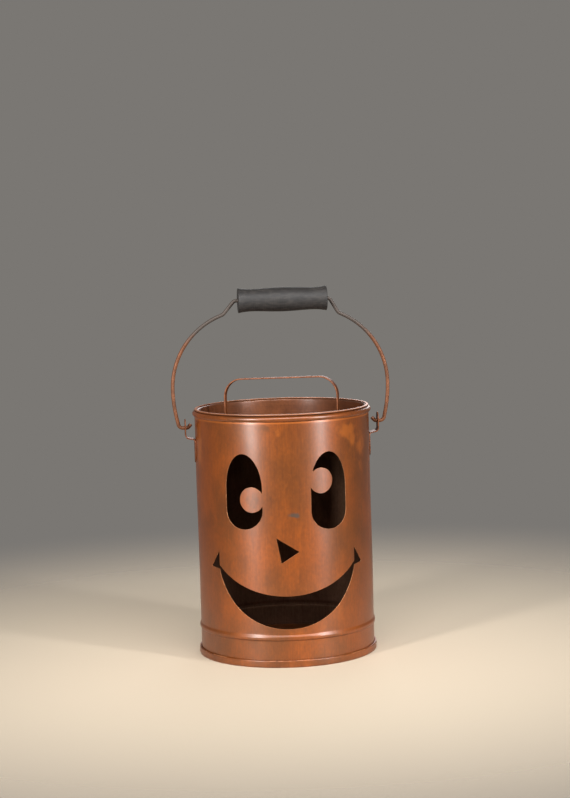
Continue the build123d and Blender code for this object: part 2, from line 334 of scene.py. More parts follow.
def new_finish(name):
    """An empty material, its node tree and its principled shader."""
    finish = bpy.data.materials.new(name)
    finish.use_nodes = True
    return finish, finish.node_tree, finish.node_tree.nodes["Principled BSDF"]


SOFT = {"interpolation_type": "SMOOTHSTEP"}
COLOUR = {"data_type": "RGBA"}
print("copper in linear light:", [round(c, 3) for c in linear("#8D4504")])

# %% [markdown]
# ## The copper wash
#
# The sheet is steel with a copper wash under clear lacquer, brushed upwards and browned with age.
# To the eye that is a satin orange-brown with white, soft-edged highlights: the colour comes from the wash
# and the gloss from the lacquer, so the lacquer is the shader's coat and stays apart from the metal under it.
# The brown lies in patches two fingers wide, with smudges, specks and brush lines under a millimetre wide.
# Places that are rubbed, dulled, worn pale or stained are marks on the mesh, made ragged by a noise,
# and the same marks also carry painted highlights, painted reflections and painted shade.

# %% Copper-washed sheet
# Colours of the marks; the rubbed, pale and dulled ones also paint highlights, reflections and shade
MARKS = {"rubbed_and_highlight": "#A85A14", "dulled_and_shade": "#5C3410", "pale_and_highlight": "#B4754D", "stained": "#45413B"}
GRAINS = {"patch": (55, 55, 80), "smudge": (16, 16, 24), "ragged": (8, 8, 11), "speck": (2.4, 2.4, 4)}
SHADES = {"brush": (0.83, 1.12), "smudge": (0.86, 1.1), "speck": (0.84, 1.12)}


def copper_sheet(name, brown, copper, brush, lacquer, marks=()):
    """Browned copper wash: patches choose the colour, smudges and brush lines shade it, marks change it."""
    finish, tree, shader = new_finish(name)
    spot = add(tree, "ShaderNodeTexCoord", give="Object")
    noise = {}
    for key, size in (GRAINS | {"brush": brush}).items():
        place = add(tree, "ShaderNodeMapping", {"Vector": spot, "Scale": per_metre(size)})
        noise[key] = add(tree, "ShaderNodeTexNoise", {"Vector": place, "Scale": 1.0, "Detail": 4.0})
    share = add(tree, "ShaderNodeMapRange", {0: noise["patch"], 1: 0.34, 2: 0.66}, **SOFT)
    colour = add(tree, "ShaderNodeMix", {0: share, 6: linear(brown), 7: linear(copper)}, 2, **COLOUR)
    for key, (dark, bright) in SHADES.items():
        shade = add(tree, "ShaderNodeMapRange", {0: noise[key], 1: 0.3, 2: 0.7, 3: dark, 4: bright})
        both = {0: 1.0, 6: colour, 7: shade}
        colour = add(tree, "ShaderNodeMix", both, 2, blend_type="MULTIPLY", **COLOUR)
    # Marks are wear and stains, and also painted highlights, painted reflections and painted shade
    for key in marks:
        share = add(tree, "ShaderNodeAttribute", give="Fac", attribute_name=key)
        share = add(tree, "ShaderNodeMath", {0: noise["ragged"], 1: 0.9, 2: share}, operation="MULTIPLY_ADD")
        share = add(tree, "ShaderNodeMapRange", {0: share, 1: 0.66, 2: 1.0, 4: 0.8}, **SOFT)
        colour = add(tree, "ShaderNodeMix", {0: share, 6: colour, 7: linear(MARKS[key])}, 2, **COLOUR)
    rough = add(tree, "ShaderNodeMapRange", {0: noise["brush"], 1: 0.25, 2: 0.75, 3: 0.48, 4: 0.6})
    scored = add(tree, "ShaderNodeBump", {"Height": noise["brush"], "Strength": 0.12, "Distance": 0.04 * MM})
    join(tree, shader, {"Base Color": colour, "Roughness": rough, "Normal": scored, "Metallic": 0.6})
    join(tree, shader, {"Specular IOR Level": 0.3, "Specular Tint": linear("#B87848")})
    join(tree, shader, {"Coat Weight": lacquer, "Coat Roughness": 0.32, "Coat IOR": 1.75})
    return finish


# Brush lines run up the wall and the strips, round the base seam and round the spun tray
pail_copper = copper_sheet("brushed_copper_wash", "#733B08", "#8D4504", (0.7, 0.7, 40), 0.8, tuple(MARKS))
base_copper = copper_sheet("base_copper_wash", "#703A0E", "#924B12", (14, 14, 3), 0.7, ("rubbed_and_highlight", "pale_and_highlight"))
tray_copper = copper_sheet("turned_tray_copper_wash", "#5C3520", "#78472A", (60, 60, 0.9), 0.5, ("pale_and_highlight",))
strip_copper = copper_sheet("strip_copper_wash", "#603319", "#7A4421", (1.0, 1.0, 30), 0.3)
# The inside of the wall is the same sheet, given a greyer copy of the wash without lacquer: painted shade
inner_shade_wash = copper_sheet("painted_shade_inner_wash", "#5F4737", "#715443", (1.1, 1.1, 55), 0.0)
print("copper finishes:", [finish.name for finish in bpy.data.materials if "wash" in finish.name])

# %% [markdown]
# ## Bare edges, wire and wood
#
# A die leaves a bright edge, handling leaves the strips' edges worn, and the rivets keep some of their wash.
# These are small, so two tones in a fine mottle are enough, with the worn tone a little smoother.
# The bail's wire has the same wash, gone to dark bare steel near the grip.
# The grip's wood is stained black; its grain runs along it and the lathe left faint rings round it.


# %% Edge and wire finishes
def mottled_metal(name, dull, worn, size, rough, metal, bare=None):
    """Two tones mixed by a fine mottle; where the mark named bare is 1, the metal shows its bare colour."""
    finish, tree, shader = new_finish(name)
    spot = add(tree, "ShaderNodeTexCoord", give="Object")
    place = add(tree, "ShaderNodeMapping", {"Vector": spot, "Scale": per_metre((size, size, size))})
    mottle = add(tree, "ShaderNodeTexNoise", {"Vector": place, "Scale": 1.0, "Detail": 3.0})
    share = add(tree, "ShaderNodeMapRange", {0: mottle, 1: 0.32, 2: 0.68}, **SOFT)
    colour = add(tree, "ShaderNodeMix", {0: share, 6: linear(dull), 7: linear(worn)}, 2, **COLOUR)
    if bare:
        gone = add(tree, "ShaderNodeAttribute", give="Fac", attribute_name="bare")
        gone = add(tree, "ShaderNodeMath", {0: mottle, 1: 0.9, 2: gone}, operation="MULTIPLY_ADD")
        gone = add(tree, "ShaderNodeMapRange", {0: gone, 1: 0.65, 2: 1.25}, **SOFT)
        colour = add(tree, "ShaderNodeMix", {0: gone, 6: colour, 7: linear(bare)}, 2, **COLOUR)
    gloss = add(tree, "ShaderNodeMapRange", {0: mottle, 1: 0.3, 2: 0.7, 3: rough + 0.07, 4: rough - 0.07})
    pitted = add(tree, "ShaderNodeBump", {"Height": mottle, "Strength": 0.15, "Distance": 0.05 * MM})
    join(tree, shader, {"Base Color": colour, "Roughness": gloss, "Normal": pitted, "Metallic": metal})
    return finish


cut_edge = mottled_metal("bright_cut_edge", "#9A6542", "#C48A60", 3, 0.4, 0.8)
worn_edge = mottled_metal("worn_strip_edge", "#643517", "#7E4620", 4, 0.55, 0.3)
rivet_copper = mottled_metal("rivet_copper_wash", "#74401F", "#9A5A34", 2, 0.42, 0.6)
wire_wash = mottled_metal("brown_wash_on_wire", "#5E371E", "#744528", 7, 0.52, 0.3, "#4A413B")


# %% Wood finish
def stained_wood(name, dark, light, worn):
    """Black stain on turned wood: fibres lie along X, and scuffs show a little grey."""
    finish, tree, shader = new_finish(name)
    spot = add(tree, "ShaderNodeTexCoord", give="Object")
    noise = {}
    for key, size in (("fibre", (16, 0.8, 0.8)), ("scuff", (7, 4, 4))):
        place = add(tree, "ShaderNodeMapping", {"Vector": spot, "Scale": per_metre(size)})
        noise[key] = add(tree, "ShaderNodeTexNoise", {"Vector": place, "Scale": 1.0, "Detail": 4.0})
    share = add(tree, "ShaderNodeMapRange", {0: noise["fibre"], 1: 0.35, 2: 0.7}, **SOFT)
    colour = add(tree, "ShaderNodeMix", {0: share, 6: linear(dark), 7: linear(light)}, 2, **COLOUR)
    share = add(tree, "ShaderNodeMapRange", {0: noise["scuff"], 1: 0.45, 2: 0.8, 4: 0.5})
    colour = add(tree, "ShaderNodeMix", {0: share, 6: colour, 7: linear(worn)}, 2, **COLOUR)
    ridged = add(tree, "ShaderNodeBump", {"Height": noise["fibre"], "Strength": 0.35, "Distance": 0.1 * MM})
    join(tree, shader, {"Base Color": colour, "Roughness": 0.6, "Normal": ridged})
    return finish


black_wood = stained_wood("black_stained_wood", "#1A1817", "#272423", "#423D39")
print("all finishes:", len(bpy.data.materials))

# %% [markdown]
# ## The face, drawn on the flat blank
#
# The face is a plain jack-o'-lantern cut-out: two tall oval eyes, each with a round pupil left standing at
# its inner side, a three-cornered nose, and a crescent mouth with a small open corner at each cheek.
# It is drawn as arc length along the wall and height above the ground, as the die meets the blank.

# %% Face sizes
RADIUS = 95.0
FACE_TURN = np.radians(-3.7) * RADIUS
EYE_SPACING, EYE_SHIFT = 47.6, 0.9
EYE_HALF_WIDTH, EYE_BROW, EYE_LID = 21.5, 37.0, 20.0
EYE_BROW_HEIGHT = 190.0
PUPIL_RADIUS, PUPIL_INSET, PUPIL_POINTS, PUPIL_CLEAR = 13.5, 9.7, 50, 0.4
EYES = {-1: {"pupil": 178.6, "lid": 167.0}, 1: {"pupil": 197.0, "lid": 164.7}}
MOUTH_HALF, MOUTH_BOTTOM, MOUTH_MIDDLE = 81.5, 40.9, 76.0
MOUTH_LOWER_CORNER, MOUTH_UPPER_CORNER = 102.1, 106.3
CHEEK_REACH, CHEEK_HEIGHT, CHEEK_TOP = 95.0, 103.9, 121.6
NOSE = np.array([(-11.2, 138.0), (-6.4, 111.2), (12.7, 122.9)])
CUT_STEP = 1.6


# %% Face outlines
def eye_loop(side):
    """A tall oval less a disc: the oval outside the disc, then back along the disc inside the oval."""
    brow = arc_points((0, EYE_BROW_HEIGHT), EYE_HALF_WIDTH, EYE_BROW, 0, 180)
    lid = arc_points((0, EYES[side]["lid"]), EYE_HALF_WIDTH, EYE_LID, 180, 360)
    oval = divide_runs(np.vstack([brow, lid, brow[:1]]), CUT_STEP)[:-1]
    centre = np.array([-side * PUPIL_INSET, EYES[side]["pupil"]])
    reach = np.linalg.norm(oval - centre, axis=1) - PUPIL_RADIUS
    first = int(np.flatnonzero((reach > 0) & (np.roll(reach, 1) <= 0))[0])
    oval, reach = np.roll(oval, -first, axis=0), np.roll(reach, -first)
    count = int((reach > 0).sum())
    meets = []
    for free, held in ((0, -1), (count - 1, count)):
        share = reach[free] / (reach[free] - reach[held])
        meets.append(oval[free] + share * (oval[held] - oval[free]))
    start, end = (np.arctan2(*(meet - centre)[::-1]) for meet in meets)
    turns = np.linspace(end, end - (end - start) % (2 * np.pi), PUPIL_POINTS)[1:-1]
    disc = centre + PUPIL_RADIUS * np.c_[np.cos(turns), np.sin(turns)]
    loop = np.vstack([meets[:1], oval[:count][reach[:count] > PUPIL_CLEAR], meets[1:], disc])
    return loop + (EYE_SHIFT + side * EYE_SPACING, 0)


def smile_arc(corner_height, middle_height):
    """The arc through the two mouth corners and a middle point: R = (half^2 + rise^2) / (2 rise)."""
    rise = corner_height - middle_height
    radius = (MOUTH_HALF**2 + rise**2) / (2 * rise)
    sweep = np.degrees(np.arcsin(MOUTH_HALF / radius))
    return arc_points((0, middle_height + radius), radius, radius, -90 - sweep, -90 + sweep, CUT_STEP)


def mouth_loop():
    """The crescent between two arcs, with a small open triangle at each corner."""
    lower = smile_arc(MOUTH_LOWER_CORNER, MOUTH_BOTTOM)
    upper = smile_arc(MOUTH_UPPER_CORNER, MOUTH_MIDDLE)[::-1]
    right = np.array([(CHEEK_REACH, CHEEK_HEIGHT), (MOUTH_HALF, CHEEK_TOP)])
    left = right[::-1] * (-1, 1)
    return divide_runs(np.vstack([lower, right, upper, left, lower[:1]]), CUT_STEP)[:-1]


nose_loop = divide_runs(np.vstack([NOSE, NOSE[:1]]), CUT_STEP)[:-1]
face = [loop + (FACE_TURN, 0) for loop in (eye_loop(-1), eye_loop(1), nose_loop, mouth_loop())]
print("points round the eyes, nose and mouth:", [len(loop) for loop in face])

# %% [markdown]
# ## The wall: one blank, cut flat and rolled
#
# The wall's profile goes up from the hook inside the base seam, out over the pressed bead, which is soft
# above and steep below, up the plain side, in at the neck and over the rolled rim.
# The rolled sheet is never a perfect cylinder: a slow wave of about a fifth of a millimetre lies on the plain
# part, so that the highlights wander as on the real one, and the folded seam up the back stands proud.

# %% Wall profile
SHEET, LAYER = 0.7, 0.75
WALL_LINE = RADIUS - SHEET / 2
SEAM_HEIGHT, SEAM_BEND = 7.8, 0.675
HOOK_LINE, HOOK_FOOT = WALL_LINE + 2 * LAYER, SHEET / 2 + LAYER
HOOK_TOP = SEAM_HEIGHT - SHEET / 2 - LAYER
BEAD_HEIGHT, BEAD_LINE = 31.3, WALL_LINE + 1.2
BEAD_FOOT, BEAD_STEP, BEAD_CROWN, BEAD_TOP = -2.8, -1.75, 1.05, 3.5
BEAD_STEEP, BEAD_SOFT = 0.8, 2.6
ROLL_LINE, ROLL_CENTRE, NECK_BEND, ROLL_END = 2.65, 94.3, 0.9, -74.0
ROLL_HEIGHT = node_box("pail_wall")[1][2] - ROLL_LINE - SHEET / 2
neck_across = ROLL_CENTRE - WALL_LINE + NECK_BEND
neck_drop = np.sqrt((NECK_BEND + ROLL_LINE) ** 2 - neck_across**2)
neck_turn = np.degrees(np.arctan2(neck_drop, neck_across))
NECK_HEIGHT = ROLL_HEIGHT - neck_drop
side_corners = [
    (HOOK_LINE, HOOK_TOP),
    (HOOK_LINE, HOOK_FOOT),
    (WALL_LINE, HOOK_FOOT),
    (WALL_LINE, BEAD_HEIGHT + BEAD_FOOT),
    (BEAD_LINE, BEAD_HEIGHT + BEAD_STEP),
    (BEAD_LINE, BEAD_HEIGHT + BEAD_CROWN),
    (WALL_LINE, BEAD_HEIGHT + BEAD_TOP),
    (WALL_LINE, NECK_HEIGHT),
]
side_bends = [SEAM_BEND, SEAM_BEND, BEAD_STEEP, BEAD_STEEP, BEAD_SOFT, BEAD_SOFT]
side_path = bent_path(side_corners, side_bends)
neck = arc_points((WALL_LINE - NECK_BEND, NECK_HEIGHT), NECK_BEND, NECK_BEND, 0, neck_turn, step=0.2)
roll = arc_points((ROLL_CENTRE, ROLL_HEIGHT), ROLL_LINE, ROLL_LINE, 180 + neck_turn, ROLL_END, step=0.35)
wall_path = divide_runs(np.vstack([side_path, neck, roll]), run_step=3.0)
wall_along, wall_side = path_frame(wall_path)
plain_row = int(np.flatnonzero(wall_path[:, 1] > BEAD_HEIGHT + 10)[0])
SHIFT = wall_along[plain_row] - wall_path[plain_row, 1]
rim_top = wall_path[:, 1].max() + SHEET / 2
print("rim top", round(rim_top, 2), "mm, blank", round(wall_along[-1], 1), "mm tall")

# %% Wall shape rule
HALF_ROUND = np.pi * RADIUS
LOCK_HALF, LOCK_RISE, LOCK_EDGE = 3.5, 0.6, 0.2
LOCK_FOOT, LOCK_HEAD = BEAD_HEIGHT + BEAD_TOP + 4, NECK_HEIGHT - 4
WAVE_DEPTH = 0.11
WAVE_FOOT, WAVE_HEAD = (40, 70), (225, 255)


def wave(flat):
    """A slow wave over the plain part of the wall, nothing at the rim and bead."""
    turn, z = flat[:, 0] / RADIUS, flat[:, 1] - SHIFT
    held = smooth(z, *WAVE_FOOT) * (1 - smooth(z, *WAVE_HEAD))
    slow = np.sin(3 * turn + z / 31 + 0.4) + 0.8 * np.sin(5 * turn - z / 43 + 2.1)
    return WAVE_DEPTH * held * (slow + 0.5 * np.sin(8 * turn + z / 19 + 4.0))


def wave_and_seam(flat):
    """The wave, with the folded seam added on the outside at the back, between the bead and the rim."""
    gap, z = HALF_ROUND - np.abs(flat[:, 0]), flat[:, 1] - SHIFT
    proud = 1 - smooth(gap, LOCK_HALF - LOCK_EDGE, LOCK_HALF + LOCK_EDGE)
    begun = smooth(z, LOCK_FOOT - LOCK_EDGE, LOCK_FOOT + LOCK_EDGE)
    ended = smooth(z, LOCK_HEAD - LOCK_EDGE, LOCK_HEAD + LOCK_EDGE)
    return wave(flat) + LOCK_RISE * proud * begun * (1 - ended)


def roll_up(flat, lift):
    """Rolled blank: x = r sin(s / R), y = -r cos(s / R), with r and z set off along the profile's normal."""
    s, t = flat.T
    r, z = (np.interp(t, wall_along, wall_path[:, k]) for k in (0, 1))
    normal = unit(np.stack([np.interp(t, wall_along, wall_side[:, k]) for k in (0, 1)], -1))
    skin = wave_and_seam if lift > 0 else wave
    height, small = lift + skin(flat), 0.05
    slope_s = (skin(flat + (small, 0)) - skin(flat - (small, 0))) / (2 * small)
    slope_t = (skin(flat + (0, small)) - skin(flat - (0, small))) / (2 * small)
    r, z = r + height * normal[:, 0], z + height * normal[:, 1]
    out_r = normal[:, 0] + slope_t * normal[:, 1]
    out_z = normal[:, 1] - slope_t * normal[:, 0]
    sin, cos = np.sin(s / RADIUS), np.cos(s / RADIUS)
    normals = np.c_[out_r * sin - slope_s * cos, -out_r * cos - slope_s * sin, out_z]
    return np.c_[r * sin, -r * cos, z], unit(normals)


# %% Wall blank
CUT_EDGE, WALL_COLUMNS, WALL_CLEAR = 0.14, 201, 1.1
# Extra rows just under the neck carry the thin painted highlight line that runs round the top of the wall
NECK_HIGHLIGHT_DEPTHS = np.array([2.5, 1.7, 1.1, 0.6])
step = np.array([-LOCK_EDGE, 0, LOCK_EDGE])
seam_columns = HALF_ROUND - LOCK_HALF + step
columns = np.unique(np.r_[np.linspace(-HALF_ROUND, HALF_ROUND, WALL_COLUMNS), seam_columns, -seam_columns])
seam_rows = np.r_[LOCK_FOOT + step, LOCK_HEAD + step]
neck_highlight_rows = NECK_HEIGHT - NECK_HIGHLIGHT_DEPTHS
rows = np.unique(np.r_[wall_along, seam_rows + SHIFT, neck_highlight_rows + SHIFT])
bottom = np.c_[columns, 0 * columns]
top = np.c_[columns, 0 * columns + rows[-1]][::-1]
field = np.stack(np.meshgrid(columns, rows[1:-1]), -1).reshape(-1, 2)
holes = [loop + (0, SHIFT) for loop in face]
wall_lines = [bottom, top] + [hole[::-1] for hole in holes]
wall_closed = [False, False] + [True] * len(holes)
wall_blank = cut_blank(wall_lines, wall_closed, False, field, CUT_EDGE, WALL_CLEAR)
print("wall blank:", len(wall_blank[0]), "points,", len(wall_blank[1]), "triangles")

# %% [markdown]
# ## Wear and painted light on the wall
#
# Age has left its marks: the wash is rubbed to orange at the upper right and beside the left ear, dulled at
# the right side and under the rim, and stained grey above the nose. Other marks are painted light: a thin
# orange line along the neck, a lighter patch between the eyes and a band round the roll are painted
# highlights, warmer orange below the mouth and darker colour low on the left side are painted reflections,
# and a darker left pupil is painted shade. The right pupil is made lighter. Painting them by hand would tie
# them to one mesh. Each mark is a soft spot instead, given by its arc length, height, half width, half height
# and strength, and the spots of one kind are added up on the mesh's points.

# %% Wear
ALL_ROUND = 900.0
WEAR_AND_LIGHT = {
    "rubbed_and_highlight": [
        (64, 248, 15, 9, 0.52),
        (75, 236, 7, 14, 0.4),
        (95, 226, 14, 26, 0.45),
        (-13, 251, 3.5, 7, 0.46),
        (-126, 232, 10, 30, 0.6),
        # A broad lighter patch between the eyes: a painted highlight that widens the left highlight towards
        # the middle
        (-3, 196, 22, 40, 0.23),
        # Warmer orange below the mouth, in these two spots: painted reflections of a warm surface
        (40, 56, 24, 16, 0.4),
        (-12, 36, 40, 5, 0.25),
        # A thin orange band all round under the neck: a painted highlight where the top of the wall catches
        # light below the roll
        (0, NECK_HEIGHT - 0.5, ALL_ROUND, 0.9, 0.8),
    ],
    "dulled_and_shade": [
        # Darker colour low on the left side: a painted dark reflection
        (-96, 152, 30, 20, 0.3),
        (-30, 254, 24, 8, 0.35),
        (4, 176, 14, 9, 0.2),
        (92, 170, 12, 34, 0.3),
        (30, 246, 9, 14, 0.3),
        # The left pupil made darker where the left highlight falls: painted shade
        (-43, 178.6, 11, 11, 0.45),
        (50, 100, 1.5, 0.7, 0.8),
    ],
    "stained": [(2.6, 162, 4.6, 2.2, 0.75), (2.6, 161, 10, 4, 0.2)],
    # The small spot makes the right pupil lighter; the band round the roll is a painted highlight
    "pale_and_highlight": [(32.7, 197, 11, 11, 0.16), (0, ROLL_HEIGHT, ALL_ROUND, 3.5, 0.55)],
}


def wear_and_light_marks(flat, spots):
    """Soft spots on the sheet: the sum of strength * exp(-(ds / width)^2 - (dz / height)^2), held below 1."""
    s, z = flat[:, 0], flat[:, 1] - SHIFT
    total = sum(a * np.exp(-(((s - s0) / w) ** 2) - ((z - z0) / h) ** 2) for s0, z0, w, h, a in spots)
    return np.clip(total, 0, 1)


# %% Wall
sheet = form_sheet(wall_lines, wall_closed, wall_blank, roll_up, SHEET, CUT_EDGE)
points, normals, faces, spots, flat = sheet
points, faces, first, whole = weld(points, faces)
spots = spots[whole]
above_neck = points[faces].min(axis=1)[:, 2] > NECK_HEIGHT - 2
spots[(spots == 1) & above_neck] = 0
marks = {kind: wear_and_light_marks(flat, places)[first] for kind, places in WEAR_AND_LIGHT.items()}
# Finishes: the outside wash, the inside's painted-shade copy, and the cut edges
finishes = [pail_copper, inner_shade_wash, cut_edge]
new_piece("pail_wall_fine", "pail", points, faces, finishes, spots, normals[first], marks)

# %% [markdown]
# ## The floor and its double seam
#
# The floor is a disc whose edge goes down inside the wall, round under its hook and up between the layers.
# Turned as one bent sheet it gives the ring that the pail stands on.
# That ring takes every knock, so the wash on its upper edge is chipped and its foot is rubbed: both are marks
# worked out from the points, with a product of sines round the ring to break the chips up.

# %% Floor of the pail
FLOOR_HEIGHT, FLOOR_BEND, RING_BEND = 7.0, 1.5, 0.975
inner_line, tuck_line, outer_line = WALL_LINE - LAYER, WALL_LINE + LAYER, WALL_LINE + 3 * LAYER
tuck_foot = HOOK_FOOT + LAYER + 0.05
floor_corners = [
    (0, FLOOR_HEIGHT),
    (inner_line, FLOOR_HEIGHT),
    (inner_line, SHEET / 2),
    (outer_line, SHEET / 2),
    (outer_line, SEAM_HEIGHT - SHEET / 2),
    (tuck_line, SEAM_HEIGHT - SHEET / 2),
    (tuck_line, tuck_foot),
]
floor_bends = [FLOOR_BEND, RING_BEND, RING_BEND, SEAM_BEND, SEAM_BEND]
floor_path = bent_path(floor_corners, floor_bends, run_step=12.0)
points, faces = lathe(sheet_section(floor_path, SHEET), steps=400)
turn, reach = np.arctan2(points[:, 1], points[:, 0]), np.hypot(points[:, 0], points[:, 1])
chips = smooth(np.sin(23 * turn) * np.sin(41 * turn + 1.3) + 0.6 * np.sin(7 * turn + 0.5), 0.25, 0.7)
upper_edge = smooth(points[:, 2], SEAM_HEIGHT - 0.9, SEAM_HEIGHT - 0.2) * (reach > HOOK_LINE)
foot = 1 - smooth(points[:, 2], 0.2, 0.9)
marks = {"pale_and_highlight": upper_edge * (0.25 + 0.75 * chips), "rubbed_and_highlight": 0.5 * foot}
new_piece("pail_floor_fine", "pail", points, faces, [base_copper], marks=marks)

# %% [markdown]
# ## Ears: cut strip, folded
#
# An ear is a spade-shaped foot, a shelf off the wall and a round-topped tab with a hole for the bail.
# It is cut flat and folded along a bent path, like the real one, and its foot is bowed to the wall that it is
# soldered to. The two ears are the same strip, one mirrored.


# %% Folded strips
def fold_along(path, foot_radius=None, foot_end=0.0):
    """A flat strip folded along a path in X and Z; a foot, if any, is bowed across by v v / (2 R)."""
    along, side = path_frame(path)

    def shape(flat, lift):
        """Places and normals of points v across and u along the strip."""
        v, u = flat.T
        x, z = (np.interp(u, along, path[:, k]) for k in (0, 1))
        across, up = (np.interp(u, along, side[:, k]) for k in (0, 1))
        bend = (1 - smooth(u, foot_end - 2, foot_end + 2)) / foot_radius if foot_radius else 0 * u
        normal = unit(np.c_[across, bend * v, up])
        return np.c_[x - bend * v * v / 2, v, z] + lift * normal, normal

    return shape


def strip_field(path, half_width, step):
    """A grid of points over a strip: evenly across it, and at each point of its path."""
    across = np.arange(-half_width, half_width + step, step)
    return np.stack(np.meshgrid(across, path_frame(path)[0]), -1).reshape(-1, 2)


# %% Ears
EAR_SHEET, EAR_EDGE, EAR_INNER_BEND, EAR_OUTER_BEND = 1.2, 0.3, 2.0, 4.0
EAR_HALF_WIDTH, EAR_FOOT_RADIUS, EAR_HOLE_RADIUS = 7.5, 12.0, 2.45
EAR_FOOT_LENGTH, EAR_SHELF_RISE, EAR_HOLE_COVER = 25.1, 2.2, 9.8
ear_low, ear_high = node_box("ear_right")
foot_line, tab_line = RADIUS + EAR_SHEET / 2, ear_high[0] - EAR_SHEET / 2
shelf_height = ear_low[2] + EAR_FOOT_LENGTH
ear_corners = [
    (foot_line, ear_low[2]),
    (foot_line, shelf_height),
    (tab_line, shelf_height + EAR_SHELF_RISE),
    (tab_line, ear_high[2]),
]
ear_path = bent_path(ear_corners, [EAR_INNER_BEND, EAR_OUTER_BEND], turn_step=8, run_step=1.5)
ear_length = path_frame(ear_path)[0][-1]
foot = arc_points((0, EAR_FOOT_RADIUS), EAR_FOOT_RADIUS, EAR_FOOT_RADIUS, 180, 360, step=0.9)
tab = arc_points((0, ear_length - EAR_HALF_WIDTH), EAR_HALF_WIDTH, EAR_HALF_WIDTH, 0, 180, step=0.8)
waist = np.array([(EAR_HALF_WIDTH, EAR_FOOT_LENGTH)])
ear_edge = divide_runs(np.vstack([foot, waist, tab, waist * (-1, 1), foot[:1]]), run_step=1.0)[:-1]
hole_centre = (0, ear_length - EAR_HOLE_COVER)
ear_hole = arc_points(hole_centre, EAR_HOLE_RADIUS, EAR_HOLE_RADIUS, 0, 360, step=0.5)[:-1]
ear_lines, ear_closed = [ear_edge, ear_hole[::-1]], [True, True]
ear_field = strip_field(ear_path, EAR_FOOT_RADIUS, step=1.2)
ear_blank = cut_blank(ear_lines, ear_closed, True, ear_field, EAR_EDGE, clear=0.6)
ear_shape = fold_along(ear_path, foot_line, EAR_FOOT_LENGTH)
sheet = form_sheet(ear_lines, ear_closed, ear_blank, ear_shape, EAR_SHEET, EAR_EDGE)
points, normals, faces, spots, _ = sheet
finishes = [strip_copper, strip_copper, worn_edge]
new_piece("ear_right_fine", "pail", points, faces, finishes, spots, normals)
flip = np.array([-1, 1, 1])
new_piece("ear_left_fine", "pail", points * flip, faces[:, ::-1], finishes, spots, normals * flip)

# %% [markdown]
# ## Tray, strap handle and rivets
#
# The tray is a shallow pan spun from sheet: a flat floor, an upright side and a lip hemmed back on itself,
# made paler along the top of the hem, partly as wear where it is handled and partly as a painted highlight.
# The strap handle is a narrow strip, wider over the top than at its legs,
# with a round pad at each foot, bent by hand so that its top run isn't quite level.
# Two round-headed rivets hold the pads.

# %% Tray
TRAY_LINE, TRAY_HEM, TRAY_HEM_WIDTH = 90.45, 1.1, 2.4
TRAY_FLOOR_BEND, TRAY_LIP_BEND, TRAY_HEM_BEND = 4.0, 1.5, 0.495
tray_low, tray_high = node_box("tray_pan")
tray_floor = tray_low[2] + SHEET / 2
lip_line, hem_top = tray_high[0] - SHEET / 2, tray_high[2] - SHEET / 2
tray_corners = [
    (0, tray_floor),
    (TRAY_LINE, tray_floor),
    (TRAY_LINE, hem_top - TRAY_HEM),
    (lip_line, hem_top - TRAY_HEM),
    (lip_line, hem_top),
    (lip_line - TRAY_HEM_WIDTH, hem_top),
]
tray_bends = [TRAY_FLOOR_BEND, TRAY_LIP_BEND, TRAY_HEM_BEND, TRAY_HEM_BEND]
tray_path = bent_path(tray_corners, tray_bends, run_step=8.0)
points, faces = lathe(sheet_section(tray_path, SHEET), steps=200)
# The pale line along the hem's top is partly wear and partly a painted highlight
marks = {"pale_and_highlight": 0.8 * smooth(points[:, 2], hem_top - 0.6, hem_top + 0.2)}
new_piece("tray_pan_fine", "tray", points, faces, [tray_copper], marks=marks)

# %% Strap handle
STRAP_TURN = np.radians(-25.0)
STRAP_SHEET, STRAP_EDGE, STRAP_BEND, STRAP_FOOT_BEND = 1.5, 0.35, 20.0, 3.0
STRAP_HALF_WIDTH, STRAP_NECK, PAD_RADIUS, PAD_MARGIN = 3.0, 2.0, 5.0, 0.5
STRAP_HALF_SPAN, PAD_PLACE = 65.2, 74.2
STRAP_LEFT_TOP, STRAP_RIGHT_TOP, STRAP_WIDEST = 297.3, 301.3, 285.0
strap_foot = tray_floor + SHEET / 2 + STRAP_SHEET / 2
strap_corners = [
    (-PAD_PLACE - PAD_RADIUS, strap_foot),
    (-STRAP_HALF_SPAN, strap_foot),
    (-STRAP_HALF_SPAN, STRAP_LEFT_TOP),
    (STRAP_HALF_SPAN, STRAP_RIGHT_TOP),
    (STRAP_HALF_SPAN, strap_foot),
    (PAD_PLACE + PAD_RADIUS, strap_foot),
]
strap_bends = [STRAP_FOOT_BEND, STRAP_BEND, STRAP_BEND, STRAP_FOOT_BEND]
strap_path = bent_path(strap_corners, strap_bends, turn_step=6, run_step=2.5)
strap_along = path_frame(strap_path)[0]
half_width = np.interp(strap_path[:, 1], [tray_floor, STRAP_WIDEST], [STRAP_NECK, STRAP_HALF_WIDTH])
spread = np.degrees(np.arccos(STRAP_NECK / PAD_RADIUS))
pad_end = PAD_RADIUS * (1 + np.sin(np.radians(spread))) + PAD_MARGIN
leg = (strap_along > pad_end) & (strap_along < strap_along[-1] - pad_end)
right_edge = np.c_[half_width, strap_along][leg]
near_pad = arc_points((0, PAD_RADIUS), PAD_RADIUS, PAD_RADIUS, 180 - spread, 360 + spread, step=0.7)
far_centre = (0, strap_along[-1] - PAD_RADIUS)
far_pad = arc_points(far_centre, PAD_RADIUS, PAD_RADIUS, -spread, 180 + spread, step=0.7)
strap_edge = np.vstack([near_pad, right_edge, far_pad, right_edge[::-1] * (-1, 1)])
strap_field = strip_field(strap_path, PAD_RADIUS - PAD_MARGIN, step=1.5)
strap_blank = cut_blank([strap_edge], [True], True, strap_field, STRAP_EDGE, clear=0.7)
sheet = form_sheet([strap_edge], [True], strap_blank, fold_along(strap_path), STRAP_SHEET, STRAP_EDGE)
points, normals, faces, spots, _ = sheet
